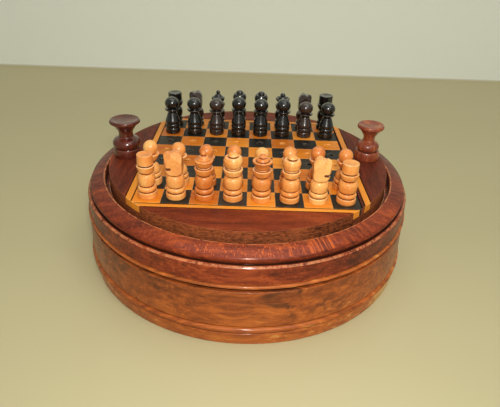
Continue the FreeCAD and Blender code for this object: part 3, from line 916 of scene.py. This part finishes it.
# ---------------------------------------------------------------- board
@dataclass
class PlayingBoard:
    """Laminated disc: squares, strips, segments and the core below them."""
    count: int = 8
    strip: float = 3.3 * MM
    edge: float = 0.09 * MM
    front_gap: float = 0.45 * MM
    sliver_front: float = 1.75 * MM
    sliver_back: float = 0.3 * MM
    hole: float = 1.4 * MM
    hole_chamfer: float = 0.42 * MM
    low: float = field(init=False)
    high: float = field(init=False)
    half: float = field(init=False)
    radius: float = field(init=False)

    def __post_init__(self) -> None:
        """Reads the board's heights and sizes from the frame."""
        tiles_low, tiles_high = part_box("light_squares")
        self.low, self.high = tiles_low.z, tiles_high.z
        self.half = tiles_high.x
        self.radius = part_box("board_core")[1].x

    def tile(self) -> Piece:
        """One square at the origin, with its edges softened and its peg hole drilled through.

        Returns:
            The tile, which is a helper object.
        """
        side = self.half * 2 / self.count / 2
        thick = self.high - self.low
        # The peg hole's chamfer is marked as a ridge, so it takes the pale rub colour: wear with a painted
        # glint.
        rings = [("square", side, 0.0, 0.0), ("square", side, thick - 4 * self.edge, 0.0),
                 ("square", side, thick - self.edge, 0.8), ("square", side - self.edge, thick, 0.8),
                 ("square", side - 4 * self.edge, thick, 0.0),
                 ("round", self.hole + 2.2 * self.hole_chamfer, thick, 0.0),
                 ("round", self.hole + self.hole_chamfer, thick, 0.9),
                 ("round", self.hole, thick - self.hole_chamfer, 0.9), ("round", self.hole, 0.0, 0.0)]
        along = (-1.0, -0.889, -0.6, -0.3, 0.0, 0.3, 0.6, 0.889)
        border = [(t, -1.0) for t in along] + [(1.0, t) for t in along]
        border += [(-t, 1.0) for t in along] + [(-1.0, -t) for t in along]
        verts, ridges, faces = [], [], []
        n = len(border)
        for kind, size, height, ridge in rings:
            for i, (bx, by) in enumerate(border):
                angle = math.tau * (i / n - 0.375)
                spot = (bx, by) if kind == "square" else (math.cos(angle), math.sin(angle))
                verts.append((size * spot[0], size * spot[1], height))
                ridges.append(ridge)
        for k in range(len(rings)):
            nxt = (k + 1) % len(rings)
            for i in range(n):
                j = (i + 1) % n
                faces.append((k * n + i, k * n + j, nxt * n + j, nxt * n + i))
        piece = new_object("tile", verts, faces, smooth=False)
        paint(piece, "ridge", ridges)
        return piece

    def tile_tree(self) -> bpy.types.GeometryNodeTree:
        """Geometry nodes that lay every other square of a grid with copies of a tile.

        Returns:
            The node tree, with named inputs for its sizes.
        """
        tree = bpy.data.node_groups.new("lay_squares", "GeometryNodeTree")
        sockets = {"Geometry": "Geometry", "Tile": "Object", "Board Width": "Float", "Count": "Int",
                   "Height": "Float", "Parity": "Int", "Seed": "Int", "Finish": "Material"}
        for name, kind in sockets.items():
            tree.interface.new_socket(name, in_out="INPUT", socket_type=f"NodeSocket{kind}")
        tree.interface.new_socket("Geometry", in_out="OUTPUT", socket_type="NodeSocketGeometry")
        n = Nodes(tree)
        given = n.node("NodeGroupInput").outputs
        count, width = given["Count"], given["Board Width"]
        span = n.math("SUBTRACT", width, n.math("DIVIDE", width, count))
        grid = n.fed("GeometryNodeMeshGrid", {"Size X": span, "Size Y": span, "Vertices X": count,
                                              "Vertices Y": count})
        lift = n.fed("ShaderNodeCombineXYZ", {"Z": given["Height"]})
        move = n.fed("GeometryNodeTransform", {"Geometry": grid.outputs["Mesh"],
                                               "Translation": lift.outputs[0]})
        index = n.node("GeometryNodeInputIndex").outputs[0]
        rank, file = n.math("FLOOR", n.math("DIVIDE", index, count)), n.math("MODULO", index, count)
        odd = n.math("MODULO", n.plus(rank, file), 2.0)
        match = n.fed("ShaderNodeMath", {0: odd, 1: given["Parity"], 2: 0.1}, operation="COMPARE")
        tile = n.fed("GeometryNodeObjectInfo", {"Object": given["Tile"]})
        laid = n.fed("GeometryNodeInstanceOnPoints", {"Points": move.outputs[0],
                                                      "Selection": match.outputs[0],
                                                      "Instance": tile.outputs["Geometry"]})
        chance = n.fed("FunctionNodeRandomValue", {"Seed": given["Seed"]}, data_type="FLOAT")
        toned = n.fed("GeometryNodeStoreNamedAttribute", {"Geometry": laid.outputs[0], "Name": "tone",
                                                          "Value": chance.outputs[1]},
                      data_type="FLOAT", domain="INSTANCE")
        real = n.fed("GeometryNodeRealizeInstances", {0: toned.outputs[0]})
        finish = n.fed("GeometryNodeSetMaterial", {"Geometry": real.outputs[0], "Material": given["Finish"]})
        n.fed("NodeGroupOutput", {0: finish.outputs[0]})
        return tree

    def lay(self, name: str, parity: int, wood: Wood, slot: str, node: str, tile: Piece,
            tree: bpy.types.GeometryNodeTree) -> None:
        """Lays the light or the dark squares as one piece and trims the corners to the round edge.

        Args:
            name: name of the piece.
            parity: 0 for the light squares, 1 for the dark ones.
            wood: their finish.
            slot: the record's material slot.
            node: the CAD node.
            tile: one square.
            tree: the node tree.
        """
        piece = new_object(name, [(0, 0, 0)], [])
        modifier = piece.modifiers.new("lay", "NODES")
        modifier.node_group = tree
        values = {"Tile": tile, "Board Width": self.half * 2, "Count": self.count, "Height": self.low,
                  "Parity": parity, "Seed": 7 + parity, "Finish": finish_of(wood)}
        for item in tree.interface.items_tree:
            if item.in_out == "INPUT" and item.name in values:
                modifier[item.identifier] = values[item.name]
        remade(piece)
        for v in piece.data.vertices:
            outward = Vector((math.copysign(1, v.co.x), math.copysign(1, v.co.y), 0)).normalized()
            v.co -= outward * max(0.0, v.co.dot(outward) - self.radius)
        dress(piece, wood, slot, "board", node)

    def laminates(self) -> None:
        """Makes the strips, the sliver, the segments and the core."""
        half, far, reach = self.half, self.half + self.strip, self.radius
        near, back = half + self.sliver_front, half + self.sliver_back
        gap_edge, strip_near, strip_back = -half - self.front_gap, near + self.strip, back + self.strip
        def oblong(x0: float, y0: float, x1: float, y1: float) -> list[Point]:
            """Corners of an upright oblong."""
            return [(x0, y0), (x1, y0), (x1, y1), (x0, y1)]

        shapes = (
            ("front_strip", STRIP_X, 0.55, [(-reach, -far), (reach, -far), (reach, -half), (-half, gap_edge),
                                            (-reach, gap_edge)]),
            ("back_strip", STRIP_X, 0.4, oblong(-reach, half, reach, far)),
            ("left_strip", STRIP_Y, 0.45, oblong(-far, -half, -half, half)),
            ("right_strip", STRIP_Y, 0.6, [(near, -half), (strip_near, -half), (strip_back, half),
                                           (back, half)]),
            ("right_sliver", SEGMENT_Y, 0.3, [(half, -half), (near, -half), (back, half), (half, half)]),
            ("front_segment", SEGMENT_X, 0.5, oblong(-reach, -reach, reach, -far)),
            ("back_segment", SEGMENT_X, 0.4, oblong(-reach, far, reach, reach)),
            ("left_segment", SEGMENT_Y, 0.5, oblong(-reach, -half, -far, half)),
            ("right_segment", SEGMENT_Y, 0.35, [(strip_near, -half), (reach, -half), (reach, half),
                                                (strip_back, half)]),
        )
        for node, wood, tone, corners in shapes:
            shape = disc_cut(corners, self.radius)
            piece = slab(f"{node}_inlay", shape, self.low, self.high, self.edge, tone)
            dress(piece, wood, "strip_wood" if "strip" in node else "segment_wood", "board", node)
        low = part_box("board_core")[0].z
        core = Outline(((0, 0), (self.radius / MM - 0.5, 0), (self.radius / MM, 0.5),
                        (self.radius / MM, (self.low - low) / MM), (0, (self.low - low) / MM)))
        disc = lathe("board_disc", core, 0.0, 0.0, low, BOWL_SIDES)
        paint(disc, "flank", [1.0] * len(disc.data.vertices))
        dress(disc, CORE_WOOD, "core_wood", "board", "board_core")

    def build(self) -> None:
        """Makes the whole board."""
        tile, tree = self.tile(), self.tile_tree()
        self.lay("light_square_inlays", 0, LIGHT_TILE, "light_inlay", "light_squares", tile, tree)
        self.lay("dark_square_inlays", 1, DARK_TILE, "dark_inlay", "dark_squares", tile, tree)
        discard(tile)
        self.laminates()


# ---------------------------------------------------------------- knobs
@dataclass
class Knob:
    """A turned lifting knob with its tenon."""
    node: str
    outline: Outline
    wood: Wood
    slot: str

    def build(self) -> None:
        """Makes the knob where its solid stands."""
        low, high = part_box(self.node)
        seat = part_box("light_squares")[1].z
        outline = self.outline.scaled((high.x - low.x) / 2 / MM, (high.z - seat) / MM)
        x, y = (low.x + high.x) / 2, (low.y + high.y) / 2
        piece = lathe(f"turned_{self.node}", outline, x, y, seat, KNOB_SIDES)
        dress(piece, self.wood, self.slot, "board", self.node)


LEFT_KNOB = Outline((
    (0.0, -0.38), (0.38, -0.38), (0.38, 0.0), (0.85, 0.0), (0.87, 0.03), (0.87, 0.20, 0.02), (0.84, 0.235),
    (0.76, 0.245), (0.66, 0.50, 0.20), (0.52, 0.53), (0.47, 0.56, -0.01), (0.46, 0.64), (0.60, 0.77, -0.03),
    (0.95, 0.915, -0.03), (0.99, 0.95, 0.02), (0.93, 1.0, 0.02), (0.82, 1.0, 0.01), (0.66, 0.985),
    (0.30, 0.965, -0.01), (0.0, 0.96)))
RIGHT_KNOB = Outline((
    (0.0, -0.38), (0.42, -0.38), (0.42, 0.0), (0.91, 0.0), (0.93, 0.03), (0.93, 0.20, 0.02), (0.89, 0.235),
    (0.72, 0.25), (0.56, 0.50, 0.19), (0.46, 0.53), (0.43, 0.56, -0.01), (0.43, 0.62), (0.56, 0.74, -0.03),
    (0.94, 0.90, -0.03), (0.99, 0.94, 0.02), (0.92, 1.0, 0.02), (0.80, 1.0, 0.01), (0.64, 0.985),
    (0.30, 0.965, -0.01), (0.0, 0.96)))


# ---------------------------------------------------------------- chess pieces
class Kind(Enum):
    """What a chess piece is."""
    ROOK = "rook"
    KNIGHT = "knight"
    BISHOP = "bishop"
    QUEEN = "queen"
    KING = "king"
    PAWN = "pawn"


# Outlines of the pieces: radii as shares of the base radius, and heights in millimetres.
BARREL_FROM, HEAD_FROM = 5.4, 11.5
BASE_RADIUS = {True: 4.4, False: 4.15}     # of a light and of a dark piece
HEAD_MIDDLE = 17.5                         # height that the knife cuts are counted from
PEG_SHARE = 0.28
PEG: Section = ((0.0, -5.0), (0.2, -5.0), (0.28, -4.65), (0.28, 0.0))
STEM: Section = (
    (0.95, 0.0), (0.985, 0.2), (1.0, 0.9, 0.01), (0.975, 2.5, 0.01), (0.94, 2.75), (0.82, 2.95),
    (0.82, 3.1), (0.86, 3.25), (0.86, 5.25, 0.11), (0.82, 5.4), (0.76, 5.5), (0.76, 5.65), (0.84, 5.8),
    (0.95, 7.2, 0.03), (0.98, 8.6, 0.01), (0.93, 10.1, 0.02), (0.76, 11.1, 0.03), (0.56, 11.3),
    (0.54, 11.75))
COLLAR: Section = (
    (0.70, 11.8), (0.88, 12.8, 0.04), (0.97, 14.4, 0.01), (0.965, 14.75, 0.01), (0.90, 14.9), (0.70, 14.8),
    (0.70, 15.3))
HEADS: dict[Kind, Section] = {
    Kind.ROOK: ((0.84, 15.4), (0.88, 15.7), (0.87, 17.0), (0.85, 19.6), (0.80, 19.95, 0.02), (0.66, 20.0),
                (0.0, 19.6, -0.02)),
    Kind.BISHOP: ((0.62, 15.4), (0.92, 17.6, 0.08), (0.90, 19.4, 0.05), (0.80, 20.3, 0.01), (0.72, 20.45),
                  (0.44, 20.3, -0.02), (0.44, 20.6), (0.48, 21.4, 0.05), (0.0, 22.1, 0.10)),
    Kind.QUEEN: ((0.64, 15.4), (0.96, 18.0, -0.05), (1.0, 18.5, 0.02), (0.97, 18.95, 0.02),
                 (0.86, 19.1, 0.01), (0.62, 18.8, -0.02), (0.36, 20.2, 0.08), (0.30, 20.35),
                 (0.32, 21.4, 0.08), (0.0, 21.9, 0.06)),
    Kind.KING: ((0.62, 15.4), (0.94, 17.9, 0.06), (0.95, 18.3, 0.01), (0.88, 18.6, 0.01), (0.70, 18.8),
                (0.42, 20.2, -0.02), (0.30, 20.45), (0.22, 20.75), (0.0, 22.8, 0.165)),
}
LIGHT_PAWN: Section = (
    (0.95, 0.0), (0.985, 0.2), (1.0, 0.9, 0.01), (0.975, 3.1, 0.01), (0.93, 3.4), (0.82, 3.55), (0.82, 3.7),
    (0.87, 3.85), (0.88, 5.65, 0.08), (0.82, 5.8), (0.76, 5.9), (0.82, 6.1), (0.44, 10.4, 0.16),
    (0.36, 10.6), (0.36, 11.1), (0.54, 11.9, -0.02), (0.84, 14.3, 0.03), (0.85, 14.8, 0.02), (0.79, 15.0),
    (0.40, 14.7), (0.74, 17.75, 0.10), (0.0, 21.0, 0.215))
DARK_PAWN: Section = (
    (0.95, 0.0), (0.99, 0.2), (1.0, 1.0, 0.01), (0.99, 3.0, 0.01), (0.96, 3.25), (0.86, 3.45), (0.86, 3.55),
    (0.92, 3.7), (0.93, 5.8, 0.08), (0.86, 6.0), (0.86, 6.15), (0.97, 6.6, 0.02), (0.95, 8.0, 0.03),
    (0.62, 12.3, -0.01), (0.52, 12.6), (0.52, 12.9), (0.90, 13.9, -0.02), (1.0, 14.5, 0.01),
    (0.96, 14.85, 0.01), (0.56, 14.9), (0.56, 15.2), (0.96, 18.1, 0.13), (0.0, 21.6, 0.27))
HORSE_BLANK: Section = ((0.0, 11.6), (0.74, 11.7), (0.99, 12.9, 0.03), (1.04, 14.0), (1.04, 21.0),
                                  (0.98, 22.5), (0.0, 22.5))
MOUTH: Point = (0.40, 14.9)
HORSE: Section = (
    (-0.60, 11.5), (0.60, 11.5), (0.86, 12.7), (0.92, 14.2), MOUTH, (0.93, 15.5), (1.02, 16.2),
    (1.02, 20.6), (0.90, 21.9), (0.56, 22.4), (0.42, 21.7), (0.16, 21.9), (0.04, 22.3), (-0.52, 21.7),
    (-0.78, 20.0), (-0.80, 13.2))
FULL_HEIGHT = {Kind.ROOK: 20.0, Kind.BISHOP: 22.1, Kind.QUEEN: 21.9, Kind.KING: 22.8, Kind.KNIGHT: 22.5,
               Kind.PAWN: 21.0}
DARK_PAWN_HEIGHT = 21.6
SEEDS = 9999                      # how many different hand-turned copies there can be
# Knife cuts on the horse heads, muzzle to the right: direction, and depth from the middle of the head.
KNIFE_CUTS: tuple[tuple[Triple, float], ...] = (
    ((-0.45, -0.70, 0.55), 3.9), ((0.60, 0.70, 0.40), 3.5), ((-0.75, 0.50, 0.44), 4.2),
    ((0.45, -0.80, 0.30), 4.1))


@dataclass
class ChessPiece:
    """One piece of either side, turned in one with its peg."""
    node: str
    kind: Kind
    light: bool
    facing: int
    tone: float
    seed: int
    swell: tuple[float, float] = (1.0, 1.0)
    peg_radius: float = 1.25
    cheek: float = 3.3

    def measure(self) -> tuple[float, float, float, float, float]:
        """Axis, seat, base radius in millimetres and share of the full height, from the solid.

        Returns:
            Place of the axis, height of the seat, base radius and share of the height.
        """
        low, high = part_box(self.node)
        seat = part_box("light_squares")[1].z
        full = FULL_HEIGHT[self.kind] if self.light or self.kind is not Kind.PAWN else DARK_PAWN_HEIGHT
        return ((low.x + high.x) / 2, (low.y + high.y) / 2, seat, BASE_RADIUS[self.light],
                (high.z - seat) / MM / full)

    def outline(self, girth: float, height: float) -> Outline:
        """Half section in millimetres.

        Args:
            girth: base radius in millimetres.
            height: share of the full height.
        Returns:
            The outline.
        """
        if self.kind is Kind.PAWN:
            body = LIGHT_PAWN if self.light else DARK_PAWN
        elif self.kind is Kind.KNIGHT:
            body = STEM + ((0.0, 11.75),)
        else:
            body = STEM + COLLAR + HEADS[self.kind]
        peg = tuple((r * self.peg_radius / PEG_SHARE, z) for r, z in PEG)
        barrel, top = self.swell
        body = tuple((p[0] * (1.0 if p[1] < BARREL_FROM else barrel if p[1] < HEAD_FROM else top), *p[1:])
                     for p in body)
        return Outline(peg + Outline(body).scaled(girth, height).points, soften=0.12, fade=0.4, step=0.35)

    def head(self, girth: float, height: float) -> Piece:
        """Carved horse head: the side outline cut out of the turned blank, with its edges eased.

        Args:
            girth: base radius in millimetres.
            height: share of the full height.
        Returns:
            The head, over the origin.
        """
        blank = lathe("blank", Outline(HORSE_BLANK).scaled(girth, height), 0.0, 0.0, 0.0, PIECE_SIDES)
        cheek = self.cheek * MM
        side = [(x * girth * MM * self.facing, z * height * MM) for x, z in HORSE]
        if self.facing < 0:
            side.reverse()
        n = len(side)
        verts = [(x, -cheek, z) for x, z in side] + [(x, cheek, z) for x, z in side]
        faces = [tuple(range(n)), tuple(reversed(range(n, 2 * n)))]
        faces += [(i, i + n, (i + 1) % n + n, (i + 1) % n) for i in range(n)]
        plate = new_object("plate", verts, faces, smooth=False)
        form = bmesh.new()
        form.from_mesh(plate.data)
        for (nx, ny, nz), reach in KNIFE_CUTS:
            normal = Vector((nx * self.facing, ny, nz)).normalized()
            middle = Vector((0.0, 0.0, HEAD_MIDDLE * height * MM)) + normal * reach * MM
            bmesh.ops.bisect_plane(form, geom=form.verts[:] + form.edges[:] + form.faces[:], plane_co=middle,
                                   plane_no=normal, clear_outer=True)
            bmesh.ops.holes_fill(form, edges=[e for e in form.edges if e.is_boundary])
        bmesh.ops.recalc_face_normals(form, faces=form.faces)
        form.to_mesh(plate.data)
        form.free()
        cut = plate.modifiers.new("blank", "BOOLEAN")
        cut.operation = "INTERSECT"
        cut.solver = "EXACT"
        cut.object = blank
        ease = plate.modifiers.new("ease", "REMESH")
        ease.mode = "VOXEL"
        ease.voxel_size = 0.16 * MM
        rub = plate.modifiers.new("rub", "SMOOTH")
        rub.iterations = 4
        remade(plate)
        discard(blank)
        return plate

    def build(self) -> None:
        """Makes the piece on its square."""
        x, y, seat, girth, height = self.measure()
        rng = random.Random(self.seed)
        outline = self.outline(girth, height).jittered(rng, 0.012)
        piece = lathe(f"turned_{self.node}", outline, x, y, seat, PIECE_SIDES, self.tone)
        if self.kind is Kind.KNIGHT:
            head = self.head(girth, height)
            head.data.transform(Matrix.Translation((x, y, seat)))
            for polygon in head.data.polygons:
                polygon.use_smooth = True
            # Painted shade in the mouth notch: wood near the notch's apex is darkened with the recess shade
            # colour, and the rest of the head takes a faint pale rub.
            notch_distance = []
            for v in head.data.vertices:
                inward = MOUTH[0] * girth - (v.co.x - x) * self.facing / MM
                notch_distance.append(math.hypot(max(0.0, inward), (v.co.z - seat) / MM - MOUTH[1] * height))
            paint(head, "ridge", [-max(0.0, 1.3 - 1.7 * d) if d < 0.8 else 0.25 for d in notch_distance])
            paint(head, "tone", [self.tone] * len(notch_distance))
            form = bmesh.new()
            form.from_mesh(piece.data)
            form.from_mesh(head.data)
            form.to_mesh(piece.data)
            form.free()
            discard(head)
        wood, slot = (LIGHT_PIECE, "light_piece_wood") if self.light else (DARK_PIECE, "dark_piece_wood")
        dress(piece, wood, slot, self.node, self.node)


@dataclass
class Army:
    """The sixteen pieces of one side."""
    light: bool
    ranks: tuple[tuple[str, Kind, int, float, float, float], ...]
    pawns: tuple[float, ...]
    seed: int

    def build(self) -> None:
        """Makes the back rank and the pawns."""
        side = "light" if self.light else "dark"
        rng = random.Random(self.seed)
        for name, kind, facing, barrel, top, tone in self.ranks:
            seed = rng.randrange(SEEDS)
            ChessPiece(f"{side}_{name}", kind, self.light, facing, tone, seed, (barrel, top)).build()
        for i, tone in enumerate(self.pawns, start=1):
            ChessPiece(f"{side}_pawn_{i}", Kind.PAWN, self.light, 0, tone, rng.randrange(SEEDS)).build()


# Back ranks from left to right: name, kind, knight's facing, share of the barrel and of the head, and tone.
LIGHT_RANKS = (("rook_left", Kind.ROOK, 0, 0.88, 0.92, 0.6),
               ("knight_left", Kind.KNIGHT, -1, 0.95, 0.97, 0.45), ("king", Kind.KING, 0, 0.92, 0.97, 0.15),
               ("bishop_left", Kind.BISHOP, 0, 0.98, 1.0, 0.65), ("queen", Kind.QUEEN, 0, 0.98, 1.0, 0.35),
               ("bishop_right", Kind.BISHOP, 0, 0.96, 0.94, 0.55),
               ("knight_right", Kind.KNIGHT, 1, 0.95, 0.97, 0.85),
               ("rook_right", Kind.ROOK, 0, 0.98, 0.96, 0.5))
LIGHT_PAWNS = (0.6, 0.65, 0.1, 0.15, 0.7, 0.45, 0.05, 0.3)
DARK_RANKS = (("rook_left", Kind.ROOK, 0, 1.0, 1.12, 0.4), ("knight_left", Kind.KNIGHT, -1, 1.0, 1.0, 0.9),
              ("king", Kind.KING, 0, 1.0, 1.0, 0.3), ("bishop_left", Kind.BISHOP, 0, 1.0, 1.0, 0.3),
              ("bishop_right", Kind.BISHOP, 0, 1.0, 1.0, 0.5), ("queen", Kind.QUEEN, 0, 1.0, 1.0, 0.3),
              ("knight_right", Kind.KNIGHT, 1, 1.0, 1.0, 1.0), ("rook_right", Kind.ROOK, 0, 1.0, 1.12, 0.3))
DARK_PAWNS = (0.4, 0.5, 0.8, 0.2, 0.4, 0.3, 0.95, 0.3)


# ---------------------------------------------------------------- studio
@dataclass
class Studio:
    """Pale table and backdrop, soft lights and the camera."""
    lens: float = 34.69
    place: Triple = (0.000635, -0.23257, 0.15813)
    heading: float = 0.26
    depression: float = 30.29
    roll: float = 1.98
    wall: float = 0.346
    reach: float = 1.6
    bend: float = 0.004
    bend_steps: int = 8
    sky: Colour = (0.92, 0.93, 0.86)
    sky_strength: float = 0.36

    def camera(self) -> None:
        """Places the camera at the customer's view."""
        data = bpy.data.cameras.new("camera")
        data.lens = self.lens
        data.sensor_width = 36.0
        data.clip_start = 0.01
        eye = bpy.data.objects.new("camera", data)
        az, el, roll = (math.radians(v) for v in (self.heading, self.depression, self.roll))
        forward = Vector((math.sin(az) * math.cos(el), math.cos(az) * math.cos(el), -math.sin(el)))
        right = Vector((math.cos(az), -math.sin(az), 0.0))
        up = right.cross(forward)
        right, up = right * math.cos(roll) + up * math.sin(roll), up * math.cos(roll) - right * math.sin(roll)
        turn = Matrix((right, up, -forward)).transposed().to_4x4()
        eye.matrix_world = Matrix.Translation(self.place) @ turn
        bpy.context.scene.collection.objects.link(eye)
        bpy.context.scene.camera = eye

    def lamp(self, name: str, place: tuple, aim: tuple, size: float, power: float, colour: Colour) -> None:
        """A square soft light.

        Args:
            name: name of the lamp.
            place, aim: where it stands and what it points at, in metres.
            size: length of its side, in metres.
            power: power in watts.
            colour: its colour.
        """
        data = bpy.data.lights.new(name, "AREA")
        data.size = size
        data.energy = power
        data.color = colour
        light = bpy.data.objects.new(name, data)
        turn = (Vector(aim) - Vector(place)).to_track_quat("-Z", "Y")
        light.matrix_world = Matrix.Translation(place) @ turn.to_matrix().to_4x4()
        bpy.context.scene.collection.objects.link(light)

    def table(self) -> None:
        """Pale table top that curves up into a backdrop."""
        reach, bend = self.reach, self.bend
        turns = [math.pi / 2 * i / self.bend_steps for i in range(1, self.bend_steps + 1)]
        section = [(-reach, 0.0), (self.wall - bend, 0.0)]
        section += [(self.wall - bend + bend * math.sin(t), bend - bend * math.cos(t)) for t in turns]
        section.append((self.wall, reach))
        verts = [(x, y, z) for y, z in section for x in (-reach, reach)]
        faces = [(2 * i, 2 * i + 1, 2 * i + 3, 2 * i + 2) for i in range(len(section) - 1)]
        floor = new_object("table", verts, faces)
        g = Graph("pale_table")
        drift = g.noise(g.coordinates((0.3, 1.0, 1.0)), 9.0, 3.0, 0.5)
        colour = g.mix(drift, linear(176, 167, 128), linear(186, 177, 138))
        colour = g.mix(g.window(g.split()[2], 0.001, 0.004), colour, linear(246, 250, 238))
        floor.data.materials.append(g.finish({"Base Color": colour, "Roughness": 0.55}))

    def build(self) -> None:
        """Sets up the table, the lights, the sky and the camera."""
        self.table()
        self.lamp("flash", (0.01, -0.25, 0.20), (0, 0, 0.05), 0.026, 0.58, (1.0, 0.97, 0.90))
        self.lamp("key", (0.5, -0.7, 1.1), (0, 0, 0.03), 0.7, 3.3, (1.0, 0.97, 0.92))
        self.lamp("overhead", (0.1, 0.2, 1.3), (0, 0, 0.03), 1.2, 6.4, (1.0, 0.98, 0.95))
        world = bpy.data.worlds.new("room")
        world.use_nodes = True
        background = world.node_tree.nodes["Background"].inputs
        background["Color"].default_value = (*self.sky, 1.0)
        background["Strength"].default_value = self.sky_strength
        bpy.context.scene.world = world
        bpy.context.scene.view_settings.view_transform = "Standard"
        self.camera()


def main() -> None:
    """Builds the chess set in order."""
    logging.basicConfig(level=logging.INFO, format="%(name)s: %(message)s")
    Studio().build()
    TurnedBox().build()
    TurnedLid().build()
    PlayingBoard().build()
    Knob("left_knob", LEFT_KNOB, LEFT_KNOB_WOOD, "left_knob_wood").build()
    Knob("right_knob", RIGHT_KNOB, RIGHT_KNOB_WOOD, "right_knob_wood").build()
    Army(True, LIGHT_RANKS, LIGHT_PAWNS, 11).build()
    Army(False, DARK_RANKS, DARK_PAWNS, 23).build()


if __name__ == "__main__":
    main()
